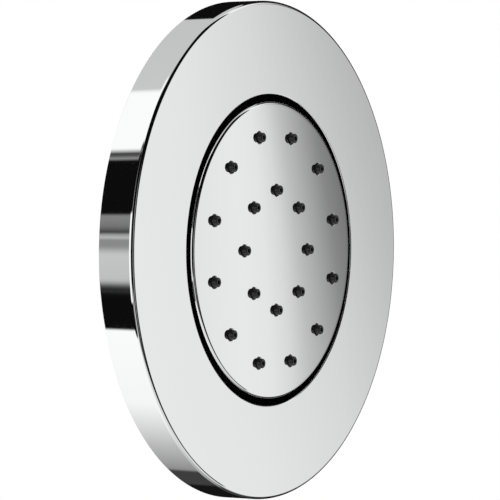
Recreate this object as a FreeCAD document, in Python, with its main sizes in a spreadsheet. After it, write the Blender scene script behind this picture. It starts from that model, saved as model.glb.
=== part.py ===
"""A round wall-mounted shower body jet whose spray head swivels on a ball joint.

The jet's axis is Y. The wall plane is y = 0, the room is on the -Y side and the pipe on the +Y side.
Every size is in millimetres. In an outline, x is the radius from the jet's axis and y runs along it.
"""
import FreeCAD, Part
import math
import os
import re
import Sketcher

V = FreeCAD.Vector
doc = FreeCAD.newDocument("body_jet")
sheet = doc.addObject("Spreadsheet::Sheet", "Sizes")

# The driving sizes, one cell each
SIZES = [
    # The cover that lies on the tiles
    ("cover_dia", 120.0, "outside of the cover"),
    ("rim_depth", 9.2, "wall plane to the cover's front face"),
    ("cover_gauge", 1.5, "brass sheet of the cover"),
    ("cover_round", 1.0, "outer front edge of the cover"),
    ("face_band", 22.5, "cover's face between its rim and its opening"),
    ("lip_turn", 0.7, "opening's turned-in edge, behind the sheet"),
    ("opening_round", 0.4, "front edge of the opening"),
    # The spray plate
    ("disc_gap", 1.65, "ring gap between the spray plate and the cover"),
    ("disc_proud", 0.55, "spray plate's edge in front of the cover"),
    ("dome_radius", 700.0, "crown of the spray plate"),
    ("disc_round", 0.5, "front edge of the spray plate"),
    ("face_thickness", 1.55, "spray plate at its edge"),
    ("skirt_wall", 1.5, "skirt of the spray plate"),
    ("skirt_lip", 1.0, "skirt behind the snap ring"),
    ("plate_hole_dia", 3.1, "nozzle holes in the spray plate"),
    # The nozzles
    ("outer_ring_inset", 7.9, "outer nozzles inside the plate's edge"),
    ("outer_count", 12.0, "nozzles on the outer circle"),
    ("inner_ring_dia", 28.9, "circle of the inner nozzles"),
    ("inner_count", 8.0, "nozzles on the inner circle"),
    ("foot_clearance", 0.05, "nozzle foot inside its hole"),
    ("foot_recess", 0.3, "nozzle foot below the plate's face"),
    ("nozzle_gap", 0.3, "open ring round a nozzle"),
    ("tip_taper", 0.1, "nozzle narrower at its tip, on the radius"),
    ("tip_round", 0.3, "edge of the tip"),
    ("nozzle_height", 1.25, "nozzle in front of the plate's face"),
    ("jet_dia", 1.0, "water hole at the tip"),
    ("nozzle_mouth_dia", 2.0, "water hole at the back of the mat"),
    # The stack inside the spray head
    ("stack_gap", 0.1, "radial play of the stack in the skirt"),
    ("mat_gauge", 1.3, "silicone mat"),
    ("carrier_gauge", 1.8, "plate that backs the mat"),
    ("feed_hole_dia", 2.6, "holes in that plate"),
    ("spreader_height", 0.4, "low cone on that plate"),
    ("chamber_depth", 3.2, "water chamber"),
    ("housing_wall", 2.0, "wall and floor of the back housing"),
    ("housing_rim", 3.5, "height of the housing's rim"),
    ("chamber_seal", 1.2, "section of the chamber's seal ring"),
    ("seal_gap", 0.02, "room left each side of a seal ring"),
    ("seal_land", 0.7, "rim in front of the seal groove"),
    ("seal_groove", 1.8, "width of the seal groove"),
    ("snap_gauge", 1.2, "snap ring, along the axis"),
    ("snap_width", 2.7, "snap ring, across"),
    ("snap_bite", 0.55, "snap ring in the skirt's groove"),
    ("snap_clearance", 0.6, "between the snap ring and the housing"),
    ("snap_opening", 22.0, "angle left open in the snap ring"),
    # The ball and its stem
    ("stem_dia", 14.0, "threaded end of the ball stem"),
    ("thread_gap", 0.05, "radial gap at a plain-drawn thread"),
    ("boss_wall", 3.4, "boss round the stem, in the chamber"),
    ("boss_gap", 0.9, "between the boss and the plate that backs the mat"),
    ("stem_washer_gauge", 1.0, "flat washer under the stem's collar"),
    ("collar_step", 2.0, "stem collar wider than the thread, on the radius"),
    ("collar_gauge", 1.2, "stem collar"),
    ("collar_flat", 1.0, "depth of the collar's spanner flats"),
    ("neck_dia", 12.0, "neck between collar and ball"),
    ("ball_dia", 19.0, "swivel ball"),
    ("water_bore", 7.0, "hole through the ball"),
    ("bore_chamfer", 0.6, "rear mouth of that hole"),
    ("key_land", 0.5, "key socket wider than that hole, on the flat"),
    ("key_depth", 3.5, "depth of the key socket"),
    # The seats that hold the ball
    ("neck_gap", 1.7, "between the stem's collar and the ball nut"),
    ("seat_play", 0.06, "radial play of the ball in its seats"),
    ("front_seat_wall", 3.0, "front seat wider than the ball, on the radius"),
    ("front_seat_near", 2.2, "front seat, near edge from the ball's centre"),
    ("front_seat_rise", 4.6, "front seat's face behind the ball's front pole"),
    ("seat_to_body", 1.0, "between the front seat and the inlet body"),
    ("rear_seat_rise", 5.3, "rear seat's near edge in front of the ball's rear pole"),
    ("rear_seat_crown", 2.2, "end of the rear seat's hollow in front of that pole"),
    ("rear_seat_land", 0.7, "rear seat behind its hollow"),
    ("seat_clearance", 0.1, "rear seat in its socket"),
    ("seat_ring_inset", 1.6, "rubber ring's middle inside the socket wall"),
    ("seat_ring_section", 1.44, "rubber ring behind the rear seat"),
    ("seat_ring_gap", 0.06, "room under that ring"),
    # The ball nut
    ("nut_wall", 2.0, "nut beyond its thread, on the flat"),
    ("nut_lip", 1.5, "lip that holds the front seat"),
    ("nut_mouth_dia", 16.0, "mouth of the lip"),
    ("nut_mouth_flare", 0.6, "mouth wider behind, on the radius"),
    ("nut_length", 11.0, "ball nut, along the axis"),
    # The inlet body
    ("socket_room", 0.5, "socket wider than the ball, on the radius"),
    ("body_thread_dia", 28.0, "long thread of the inlet body"),
    ("body_chamfer", 1.0, "chamfers of the inlet body"),
    ("shoulder_dia", 40.0, "round shoulder"),
    ("shoulder_gauge", 3.0, "round shoulder"),
    ("hex_flats", 27.0, "spanner hexagon"),
    ("hex_length", 6.5, "spanner hexagon"),
    ("pipe_thread_dia", 20.96, "half-inch pipe thread, over its crests"),
    ("pipe_thread_length", 14.5, "end of the pipe thread from the hexagon"),
    ("pipe_wall", 2.88, "wall of the pipe end"),
    ("relief_depth", 1.18, "relief groove beside the hexagon"),
    ("relief_width", 1.5, "relief groove beside the hexagon"),
    ("feed_bore", 10.0, "water way between regulator and ball"),
    # The recessed cup
    ("cup_room", 2.0, "cup wider than the cover's opening, on the radius"),
    ("cup_wall", 2.0, "wall of the cup"),
    ("cup_floor", 3.0, "floor of the cup"),
    ("cup_round", 3.0, "inner corner between wall and floor"),
    ("cover_fit", 0.6, "between the flange and the cover's rim"),
    ("rib_gap", 2.1, "between the ribs and the cover's face"),
    ("flange_gauge", 3.0, "flange on the tiles"),
    ("flange_rim", 4.0, "width of the rim that carries the cover"),
    ("flange_ribs", 12.0, "ribs on the flange"),
    ("floor_ribs", 6.0, "ribs on the cup's floor"),
    ("floor_rib_height", 3.0, "ribs on the cup's floor"),
    ("rib_clearance", 1.2, "between those ribs and the lock nut"),
    ("rib_wall", 1.4, "thickness of a rib"),
    ("screw_inset", 5.5, "wall screws outside the cup"),
    ("screw_count", 3.0, "wall screws"),
    ("screw_hole_dia", 4.5, "hole for a wall screw"),
    ("screw_head_dia", 9.0, "countersink for its head"),
    ("gasket_inset", 1.6, "foam gasket inside the flange's edge"),
    ("gasket_width", 4.0, "foam gasket behind the flange"),
    ("gasket_gauge", 1.5, "foam gasket behind the flange"),
    ("grip_section", 2.14, "rubber ring that grips the cover"),
    ("grip_width", 2.4, "groove for that ring"),
    ("grip_land", 1.0, "rim in front of that groove"),
    # Washers and lock nut that clamp the cup's floor
    ("shaft_clearance", 0.2, "round the long thread"),
    ("washer_inset", 0.5, "flat washers inside the shoulder's edge"),
    ("cup_washer_gauge", 1.5, "rubber washer outside the floor"),
    ("lock_washer_gauge", 1.0, "steel washer inside the floor"),
    ("lock_wall", 4.0, "lock nut beyond its thread, on the flat"),
    ("lock_gauge", 4.5, "lock nut"),
    ("nut_gap", 3.5, "between the ball nut and the lock nut"),
    # Regulator and strainer in the inlet
    ("insert_clearance", 0.08, "inserts in the counterbore"),
    ("insert_gap", 3.3, "between the regulator and the strainer"),
    ("regulator_length", 5.5, "flow regulator"),
    ("regulator_disc", 2.2, "its holed disc"),
    ("regulator_rim", 1.2, "its rim wall"),
    ("regulator_holes", 8.0, "its water holes"),
    ("regulator_hole_dia", 1.7, "its water holes"),
    ("regulator_hole_inset", 3.3, "its water holes inside its edge"),
    ("post_dia", 3.2, "post inside the regulator's ring"),
    ("post_length", 2.4, "post inside the regulator's ring"),
    ("regulator_ring_section", 1.9, "elastic ring of the regulator"),
    ("strainer_inset", 1.0, "strainer inside the pipe end"),
    ("strainer_rim", 1.2, "rim of the strainer"),
    ("strainer_ledge", 1.3, "rim wider than the basket, on the radius"),
    ("strainer_taper", 1.7, "basket narrower at its end, on the radius"),
    ("strainer_length", 7.5, "basket of the strainer"),
    ("strainer_wall", 0.7, "wall of the basket"),
    ("strainer_slots", 8.0, "slots round the basket"),
    ("slot_width", 1.1, "a slot of the basket"),
    ("strainer_holes", 6.0, "holes in the basket's end"),
    ("strainer_hole_dia", 1.5, "holes in the basket's end"),
    ("strainer_hole_inset", 2.0, "those holes inside the basket's end"),
]
for row, (alias, value, note) in enumerate(SIZES, start=1):
    sheet.set(f"A{row}", alias)
    sheet.set(f"B{row}", str(value))
    sheet.set(f"C{row}", note)
    sheet.setAlias(f"B{row}", alias)
doc.recompute()
ALIASES = {alias for alias, value, note in SIZES}


def bound(text):
    """The same expression with each size read from the spreadsheet."""
    return re.sub(r"[a-z_]+", lambda word: f"Sizes.{word[0]}" if word[0] in ALIASES else word[0], text)


def number(text):
    """The expression's value now."""
    return float(sheet.evalExpression(bound(text)))


# Radii that several pieces share
COVER_BORE = "(cover_dia / 2 - cover_gauge)"
OPENING = "(cover_dia / 2 - face_band)"
DISC_RADIUS = f"({OPENING} - disc_gap)"
OUTER_RING = f"({DISC_RADIUS} - outer_ring_inset)"
SKIRT_BORE = f"({DISC_RADIUS} - skirt_wall)"
STACK_RADIUS = f"({SKIRT_BORE} - stack_gap)"
SNAP_OUTER = f"({SKIRT_BORE} + snap_bite)"
SNAP_INNER = f"({SNAP_OUTER} - snap_width)"
DISH_RADIUS = f"({SNAP_INNER} - snap_clearance)"
COLLAR_RADIUS = "(stem_dia / 2 + collar_step)"
SEAT_SPHERE = "(ball_dia / 2 + seat_play)"
FRONT_SEAT_RADIUS = "(ball_dia / 2 + front_seat_wall)"
FRONT_SEAT_FAR = "(ball_dia / 2 - front_seat_rise)"
REAR_SEAT_NEAR = "(ball_dia / 2 - rear_seat_rise)"
REAR_SEAT_FAR = "(ball_dia / 2 - rear_seat_crown)"
SOCKET_RADIUS = "(ball_dia / 2 + socket_room)"
THREAD_BORE = "(body_thread_dia / 2 + thread_gap)"
SHAFT_HOLE = "(body_thread_dia / 2 + shaft_clearance)"
WASHER_RADIUS = "(shoulder_dia / 2 - washer_inset)"
LOCK_FLATS = "(body_thread_dia + 2 * lock_wall)"
CUP_BORE = f"({OPENING} + cup_room)"
CUP_RADIUS = f"({CUP_BORE} + cup_wall)"
FLANGE_RADIUS = f"({COVER_BORE} - cover_fit)"
GASKET_OUTER = f"({FLANGE_RADIUS} - gasket_inset)"
GASKET_INNER = f"({GASKET_OUTER} - gasket_width)"
INLET_BORE = "(pipe_thread_dia / 2 - pipe_wall)"
INSERT_RADIUS = f"({INLET_BORE} - insert_clearance)"

# Places along the axis, from the front to the pipe
COVER_FACE = "(-rim_depth)"
DISC_EDGE = f"({COVER_FACE} - disc_proud)"
FACE_BACK = f"({DISC_EDGE} + face_thickness)"
MAT_BACK = f"({FACE_BACK} + mat_gauge)"
CARRIER_BACK = f"({MAT_BACK} + carrier_gauge)"
BOSS_FRONT = f"({CARRIER_BACK} + boss_gap)"
CHAMBER_FLOOR = f"({CARRIER_BACK} + chamber_depth)"
HOUSING_BACK = f"({CHAMBER_FLOOR} + housing_wall)"
SEAL_FRONT = f"({CARRIER_BACK} + seal_land)"
RIM_BACK = f"({CARRIER_BACK} + housing_rim)"
SNAP_BACK = f"({RIM_BACK} + snap_gauge)"
SKIRT_END = f"({SNAP_BACK} + skirt_lip)"
COLLAR_FRONT = f"({HOUSING_BACK} + stem_washer_gauge)"
COLLAR_BACK = f"({COLLAR_FRONT} + collar_gauge)"
NUT_FRONT = f"({COLLAR_BACK} + neck_gap)"
LIP_BACK = f"({NUT_FRONT} + nut_lip)"
PIVOT = f"({LIP_BACK} + {FRONT_SEAT_FAR})"
BODY_FRONT = f"({PIVOT} - front_seat_near + seat_to_body)"
NUT_BACK = f"({NUT_FRONT} + nut_length)"
SEAT_BACK = f"({PIVOT} + {REAR_SEAT_FAR} + rear_seat_land)"
SOCKET_FLOOR = f"({SEAT_BACK} + seat_ring_section + seat_ring_gap)"
LOCK_FRONT = f"({NUT_BACK} + nut_gap)"
LOCK_BACK = f"({LOCK_FRONT} + lock_gauge)"
CUP_INSIDE = f"({LOCK_BACK} + lock_washer_gauge)"
CUP_BACK = f"({CUP_INSIDE} + cup_floor)"
SHOULDER_FRONT = f"({CUP_BACK} + cup_washer_gauge)"
HEX_FRONT = f"({SHOULDER_FRONT} + shoulder_gauge)"
HEX_BACK = f"({HEX_FRONT} + hex_length)"
PIPE_END = f"({HEX_BACK} + pipe_thread_length)"
STRAINER_BACK = f"({PIPE_END} - strainer_inset)"
STRAINER_RIM = f"({STRAINER_BACK} - strainer_rim)"
STRAINER_END = f"({STRAINER_RIM} - strainer_length)"
REGULATOR_BACK = f"({STRAINER_END} - insert_gap)"
REGULATOR_FRONT = f"({REGULATOR_BACK} - regulator_length)"
REGULATOR_DISC = f"({REGULATOR_FRONT} + regulator_disc)"
FLANGE_FRONT = "(-flange_gauge)"
RIB_FRONT = f"({COVER_FACE} + cover_gauge + rib_gap)"
GRIP_FRONT = f"({RIB_FRONT} + grip_land)"

# Each circle of nozzles: its radius, its count, and the share of a step that it is turned by
NOZZLE_RINGS = (
    ("outer", OUTER_RING, "outer_count", 0.5),
    ("inner", "inner_ring_dia / 2", "inner_count", 0.0),
)
OVERSHOOT = "1"


def crown(radius):
    """Place of the spray plate's domed face at this radius."""
    rise = f"(sqrt(dome_radius^2 - ({radius})^2) - sqrt(dome_radius^2 - {DISC_RADIUS}^2))"
    return f"({DISC_EDGE} - {rise})"


def new_body(label):
    body = doc.addObject("PartDesign::Body", label)
    body.Label = label
    return body


def new_sketch(body, name, level=None, turn=0.0):
    """A sketch in a plane along the jet's axis or, at a given level, across it.

    turn swings it round the axis, counted as seen from the room.
    """
    plane, room_axis = ("XY_Plane", V(0, -1, 0)) if level is None else ("XZ_Plane", V(0, 0, 1))
    sketch = body.newObject("Sketcher::SketchObject", name)
    support = [datum for datum in body.Origin.OriginFeatures if datum.Role == plane]
    sketch.AttachmentSupport = [(support[0], "")]
    sketch.MapMode = "FlatFace"
    sketch.AttachmentOffset = FreeCAD.Placement(V(0, 0, 0), FreeCAD.Rotation(room_axis, turn))
    if level is not None:
        sketch.setExpression("AttachmentOffset.Base.z", bound(f"-({level})"))
    return sketch


def pin_down(sketch, edge, end, x, y=None):
    """Holds one end of an edge at a place that follows the spreadsheet."""
    for kind, text, axis in (("DistanceX", x, -2), ("DistanceY", y, -1)):
        if text is None:
            continue
        value = number(text)
        if abs(value) < 1e-9:
            sketch.addConstraint(Sketcher.Constraint("PointOnObject", edge, end, axis))
        else:
            index = sketch.addConstraint(Sketcher.Constraint(kind, -1, 1, edge, end, value))
            sketch.setExpression(f"Constraints[{index}]", bound(text))


def arc_between(start, finish, radius, turn):
    """The short arc from start to finish, which turns left or right on its way."""
    along = finish - start
    side = V(-along.y, along.x, 0).normalize()
    if turn == "right":
        side = side * -1
    centre = (start + finish) * 0.5 + side * math.sqrt(max(radius**2 - (along.Length / 2) ** 2, 0))
    first, last = (start, finish) if turn == "left" else (finish, start)
    angles = [math.atan2(point.y - centre.y, point.x - centre.x) for point in (first, last)]
    return Part.ArcOfCircle(Part.Circle(centre, V(0, 0, 1), radius), *angles)


def draw_outline(sketch, corners):
    """Closes an outline through its corners, beside any that the sketch holds.

    A corner is (x, y), with a straight edge to the next one, or (x, y, turn, radius), with an arc.
    A fifth word, "centred", keeps the arc's centre on the axis, and its first end then finds its own y.
    """
    places = [V(number(corner[0]), number(corner[1]), 0) for corner in corners]
    ends = []
    for index, corner in enumerate(corners):
        start = places[index]
        finish = places[(index + 1) % len(corners)]
        if len(corner) == 2:
            edge = sketch.addGeometry(Part.LineSegment(start, finish))
            ends.append((edge, 1, 2))
            continue
        turn, radius = corner[2:4]
        edge = sketch.addGeometry(arc_between(start, finish, number(radius), turn))
        constraint = sketch.addConstraint(Sketcher.Constraint("Radius", edge, number(radius)))
        sketch.setExpression(f"Constraints[{constraint}]", bound(radius))
        if "centred" in corner:
            sketch.addConstraint(Sketcher.Constraint("PointOnObject", edge, 3, -2))
        ends.append((edge, 1, 2) if turn == "left" else (edge, 2, 1))
    for index, (edge, tail, head) in enumerate(ends):
        following, following_tail, _ = ends[(index + 1) % len(ends)]
        join = Sketcher.Constraint("Coincident", edge, head, following, following_tail)
        sketch.addConstraint(join)
    for (edge, tail, head), corner in zip(ends, corners):
        pin_down(sketch, edge, tail, corner[0], None if "centred" in corner else corner[1])
    return sketch


def draw_box(sketch, left, low, right, high):
    return draw_outline(sketch, [(left, low), (right, low), (right, high), (left, high)])


def draw_circle(sketch, x, y, diameter):
    edge = sketch.addGeometry(Part.Circle(V(number(x), number(y), 0), V(0, 0, 1), number(diameter) / 2))
    pin_down(sketch, edge, 3, x, y)
    index = sketch.addConstraint(Sketcher.Constraint("Diameter", edge, number(diameter)))
    sketch.setExpression(f"Constraints[{index}]", bound(diameter))
    return sketch


def draw_hexagon(sketch, flats):
    """A hexagon round the axis, with two of its flats level."""
    corner = f"({flats}) / sqrt(3)"
    corners = []
    for step in range(6):
        angle = f"{60 * step} deg"
        corners.append((f"{corner} * cos({angle})", f"{corner} * sin({angle})"))
    return draw_outline(sketch, corners)


def feature(body, kind, name, profile, **settings):
    """Adds a feature; a setting given as text follows the spreadsheet."""
    made = body.newObject(f"PartDesign::{kind}", name)
    made.Profile = profile
    for key, value in settings.items():
        if isinstance(value, str):
            made.setExpression(key, bound(value))
        else:
            setattr(made, key, value)
    body.Tip = made
    return made


def revolve(body, name, corners, kind="Revolution", turn=0.0):
    """Turns an outline round the jet's axis, to add it or, as a Groove, to cut it."""
    profile = draw_outline(new_sketch(body, f"{name}_profile", turn=turn), corners)
    return feature(body, kind, name, profile, ReferenceAxis=(profile, ["V_Axis"]), Angle=360.0)


def revolve_aside(body, name, radius, corners, kind="Revolution", turn=0.0):
    """Turns an outline round a line that is parallel to the jet's axis, at this radius from it."""
    profile = new_sketch(body, f"{name}_profile", turn=turn)
    draw_outline(profile, [(f"({radius}) + {corner[0]}", *corner[1:]) for corner in corners])
    foot = V(number(radius), number(corners[0][1]), 0)
    line = profile.addGeometry(Part.LineSegment(foot, foot + V(0, 1, 0)), True)
    profile.addConstraint(Sketcher.Constraint("Vertical", line))
    profile.addConstraint(Sketcher.Constraint("Coincident", line, 1, 0, 1))
    profile.addConstraint(Sketcher.Constraint("DistanceY", line, 1, line, 2, 1.0))
    return feature(body, kind, name, profile, ReferenceAxis=(profile, ["Axis0"]), Angle=360.0)


def ring_of(body, name, originals, count, axis="V_Axis"):
    """Repeats features round the jet's axis, which is V_Axis of a sketch along it and N_Axis across it."""
    pattern = body.newObject("PartDesign::PolarPattern", name)
    pattern.Originals = originals
    pattern.Axis = (originals[0].Profile[0], [axis])
    pattern.Angle = 360.0
    pattern.setExpression("Occurrences", bound(count))
    body.Tip = pattern
    return pattern


def ring_of_holes(body, name, level, depth, diameter, circle, count, turn=0.0):
    """A circle of round holes, drilled from this level towards the pipe."""
    outline = draw_circle(new_sketch(body, f"{name}_outline", level, turn), circle, "0", diameter)
    hole = feature(body, "Pocket", f"{name}_hole", outline, Length=depth)
    return ring_of(body, f"{name}_holes", [hole], count, "N_Axis")


def washer(label, inner, outer, front, back):
    """A flat washer or gasket."""
    body = new_body(label)
    revolve(body, f"{label}_blank", [(inner, front), (outer, front), (outer, back), (inner, back)])
    return body


def rubber_ring(label, radius, place, section):
    """A seal ring of round section."""
    torus = doc.addObject("Part::Torus", label)
    torus.Label = label
    torus.setExpression("Radius1", bound(radius))
    torus.setExpression("Radius2", bound(f"({section}) / 2"))
    torus.Placement = FreeCAD.Placement(V(0, 0, 0), FreeCAD.Rotation(V(1, 0, 0), 90))
    torus.setExpression("Placement.Base.y", bound(place))
    return torus


def hexagon_blank(body, flats, front, back):
    """Hexagon bar with turned corners at both ends."""
    bar = draw_hexagon(new_sketch(body, "hexagon_outline", front), flats)
    feature(body, "Pad", "hexagon", bar, Length=f"{back} - {front}", Reversed=True)
    flat = f"({flats} / 2)"
    corner = f"({flats} / sqrt(3))"
    outside = f"{corner} + {OVERSHOOT}"
    slope = f"({corner} - {flat}) * tan(30 deg)"
    for end, level, inward, outward in (("front", front, "+", "-"), ("back", back, "-", "+")):
        revolve(body, f"{end}_corners", [
            (flat, level),
            (corner, f"{level} {inward} {slope}"),
            (outside, f"{level} {inward} {slope}"),
            (outside, f"{level} {outward} {OVERSHOOT}"),
            (flat, f"{level} {outward} {OVERSHOOT}"),
        ], "Groove")


def cover_plate():
    """Drawn brass cover: flat face, rim to the tiles, and a turned-in edge round the opening."""
    body = new_body("cover_plate")
    outer = "cover_dia / 2"
    inside = f"{COVER_FACE} + cover_gauge"
    collar = f"{OPENING} + cover_gauge"
    revolve(body, "drawn_shell", [
        (OPENING, f"{inside} + lip_turn"),
        (OPENING, f"{COVER_FACE} + opening_round", "right", "opening_round"),
        (f"{OPENING} + opening_round", COVER_FACE),
        (f"{outer} - cover_round", COVER_FACE, "left", "cover_round"),
        (outer, f"{COVER_FACE} + cover_round"),
        (outer, "0"),
        (COVER_BORE, "0"),
        (COVER_BORE, inside),
        (collar, inside),
        (collar, f"{inside} + lip_turn"),
    ])
    return body


def cover_o_ring():
    """Rubber ring on the flange that the cover is pushed over."""
    radius = f"{COVER_BORE} - seal_gap - grip_section / 2"
    return rubber_ring("cover_o_ring", radius, f"{GRIP_FRONT} + grip_width / 2", "grip_section")


def wall_cup():
    """Moulded cup that sinks into the wall, with a ribbed flange that is screwed to the tiles."""
    body = new_body("wall_cup")
    rim = f"({FLANGE_RADIUS} - flange_rim)"
    groove = f"{COVER_BORE} - grip_section - 2 * seal_gap"
    outer_round = "(cup_round + cup_wall)"
    revolve(body, "moulding", [
        (SHAFT_HOLE, CUP_INSIDE),
        (f"{CUP_BORE} - cup_round", CUP_INSIDE, "right", "cup_round"),
        (CUP_BORE, f"{CUP_INSIDE} - cup_round"),
        (CUP_BORE, RIB_FRONT),
        (CUP_RADIUS, RIB_FRONT),
        (CUP_RADIUS, FLANGE_FRONT),
        (rim, FLANGE_FRONT),
        (rim, RIB_FRONT),
        (FLANGE_RADIUS, RIB_FRONT),
        (FLANGE_RADIUS, GRIP_FRONT),
        (groove, GRIP_FRONT),
        (groove, f"{GRIP_FRONT} + grip_width"),
        (FLANGE_RADIUS, f"{GRIP_FRONT} + grip_width"),
        (FLANGE_RADIUS, "0"),
        (GASKET_OUTER, "0"),
        (GASKET_OUTER, "-gasket_gauge"),
        (GASKET_INNER, "-gasket_gauge"),
        (GASKET_INNER, "0"),
        (CUP_RADIUS, "0"),
        (CUP_RADIUS, f"{CUP_BACK} - {outer_round}", "left", outer_round),
        (f"{CUP_RADIUS} - {outer_round}", CUP_BACK),
        (SHAFT_HOLE, CUP_BACK),
    ])
    half = "rib_wall / 2"
    wall_middle = f"{CUP_BORE} + cup_wall / 2"
    rib_turn = 180.0 / number("flange_ribs")
    outline = new_sketch(body, "flange_rib_outline", FLANGE_FRONT, rib_turn)
    draw_box(outline, wall_middle, f"-{half}", f"{rim} + flange_rim / 2", half)
    rib = feature(body, "Pad", "flange_rib", outline, Length=f"{FLANGE_FRONT} - {RIB_FRONT}")
    ring_of(body, "ribs_on_flange", [rib], "flange_ribs", "N_Axis")
    outline = new_sketch(body, "floor_rib_outline", CUP_INSIDE)
    draw_box(outline, f"{LOCK_FLATS} / sqrt(3) + rib_clearance", f"-{half}", wall_middle, half)
    rib = feature(body, "Pad", "floor_rib", outline, Length="floor_rib_height")
    ring_of(body, "ribs_on_floor", [rib], "floor_ribs", "N_Axis")
    head = "screw_head_dia / 2"
    shank = "screw_hole_dia / 2"
    hole = revolve_aside(body, "screw_hole", f"{CUP_RADIUS} + screw_inset", [
        ("0", f"{FLANGE_FRONT} - {OVERSHOOT}"),
        (f"{head} + {OVERSHOOT}", f"{FLANGE_FRONT} - {OVERSHOOT}"),
        (shank, f"{FLANGE_FRONT} + {head} - {shank}"),
        (shank, OVERSHOOT),
        ("0", OVERSHOOT),
    ], "Groove", turn=90.0)
    ring_of(body, "screw_holes", [hole], "screw_count")
    return body


def wall_gasket():
    """Foam ring in the flange's back, against the tiles."""
    return washer("wall_gasket", GASKET_INNER, GASKET_OUTER, "-gasket_gauge", "0")


def cup_washer():
    """Rubber washer between the cup's floor and the shoulder of the inlet body."""
    return washer("cup_washer", SHAFT_HOLE, WASHER_RADIUS, CUP_BACK, SHOULDER_FRONT)


def inlet_body():
    """Turned brass body: ball socket and long thread in front, shoulder, hexagon, half-inch pipe end."""
    body = new_body("inlet_body")
    hexagon_blank(body, "hex_flats", HEX_FRONT, HEX_BACK)
    thread = "body_thread_dia / 2"
    shoulder = "shoulder_dia / 2"
    revolve(body, "front_turning", [
        ("0", BODY_FRONT),
        (f"{thread} - body_chamfer", BODY_FRONT),
        (thread, f"{BODY_FRONT} + body_chamfer"),
        (thread, SHOULDER_FRONT),
        (shoulder, SHOULDER_FRONT),
        (shoulder, HEX_FRONT),
        ("0", HEX_FRONT),
    ])
    pipe = "pipe_thread_dia / 2"
    revolve(body, "pipe_turning", [
        ("0", HEX_BACK),
        (f"{pipe} - relief_depth", HEX_BACK),
        (f"{pipe} - relief_depth", f"{HEX_BACK} + relief_width"),
        (pipe, f"{HEX_BACK} + relief_width"),
        (pipe, f"{PIPE_END} - body_chamfer"),
        (f"{pipe} - body_chamfer", PIPE_END),
        ("0", PIPE_END),
    ])
    revolve(body, "water_way", [
        ("0", f"{BODY_FRONT} - {OVERSHOOT}"),
        (SOCKET_RADIUS, f"{BODY_FRONT} - {OVERSHOOT}"),
        (SOCKET_RADIUS, SOCKET_FLOOR),
        ("feed_bore / 2", SOCKET_FLOOR),
        ("feed_bore / 2", REGULATOR_FRONT),
        (INLET_BORE, REGULATOR_FRONT),
        (INLET_BORE, f"{PIPE_END} + {OVERSHOOT}"),
        ("0", f"{PIPE_END} + {OVERSHOOT}"),
    ], "Groove")
    return body


def lock_washer():
    """Flat steel washer under the lock nut."""
    return washer("lock_washer", SHAFT_HOLE, WASHER_RADIUS, LOCK_BACK, CUP_INSIDE)


def lock_nut():
    """Thin hexagon nut on the long thread, inside the cup."""
    body = new_body("lock_nut")
    hexagon_blank(body, LOCK_FLATS, LOCK_FRONT, LOCK_BACK)
    revolve(body, "lock_thread", [
        ("0", f"{LOCK_FRONT} - {OVERSHOOT}"),
        (THREAD_BORE, f"{LOCK_FRONT} - {OVERSHOOT}"),
        (THREAD_BORE, f"{LOCK_BACK} + {OVERSHOOT}"),
        ("0", f"{LOCK_BACK} + {OVERSHOOT}"),
    ], "Groove")
    return body


def ball_nut():
    """Brass nut: its lip holds the front seat, and its thread draws the ball onto the rear seat."""
    body = new_body("ball_nut")
    hexagon_blank(body, "(body_thread_dia + 2 * nut_wall)", NUT_FRONT, NUT_BACK)
    mouth = "nut_mouth_dia / 2"
    pocket = f"{FRONT_SEAT_RADIUS} + thread_gap"
    pocket_back = f"{BODY_FRONT} - seat_to_body / 2"
    revolve(body, "nut_inside", [
        ("0", f"{NUT_FRONT} - {OVERSHOOT}"),
        (mouth, f"{NUT_FRONT} - {OVERSHOOT}"),
        (mouth, NUT_FRONT),
        (f"{mouth} + nut_mouth_flare", LIP_BACK),
        (pocket, LIP_BACK),
        (pocket, pocket_back),
        (THREAD_BORE, pocket_back),
        (THREAD_BORE, f"{NUT_BACK} + {OVERSHOOT}"),
        ("0", f"{NUT_BACK} + {OVERSHOOT}"),
    ], "Groove")
    return body


def sphere_at(height):
    """Radius of the seats' hollow at this distance from the ball's centre."""
    return f"sqrt({SEAT_SPHERE}^2 - ({height})^2)"


def front_seat():
    """Plastic ring between the ball and the nut's lip."""
    body = new_body("front_seat")
    revolve(body, "front_seat_ring", [
        (sphere_at(FRONT_SEAT_FAR), LIP_BACK),
        (FRONT_SEAT_RADIUS, LIP_BACK),
        (FRONT_SEAT_RADIUS, f"{PIVOT} - front_seat_near"),
        (sphere_at("front_seat_near"), f"{PIVOT} - front_seat_near", "right", SEAT_SPHERE, "centred"),
    ])
    return body


def rear_seat():
    """Low-friction ring that the ball presses on; it can turn in its socket with the ball."""
    body = new_body("rear_seat")
    outer = f"{SOCKET_RADIUS} - seat_clearance"
    revolve(body, "rear_seat_ring", [
        (sphere_at(REAR_SEAT_NEAR), f"{PIVOT} + {REAR_SEAT_NEAR}"),
        (outer, f"{PIVOT} + {REAR_SEAT_NEAR}"),
        (outer, SEAT_BACK),
        (sphere_at(REAR_SEAT_FAR), SEAT_BACK),
        (sphere_at(REAR_SEAT_FAR), f"{PIVOT} + {REAR_SEAT_FAR}", "right", SEAT_SPHERE, "centred"),
    ])
    return body


def seat_o_ring():
    """Pushes the rear seat against the ball and seals behind it."""
    place = f"{SEAT_BACK} + seat_ring_section / 2"
    return rubber_ring("seat_o_ring", f"{SOCKET_RADIUS} - seat_ring_inset", place, "seat_ring_section")


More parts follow.
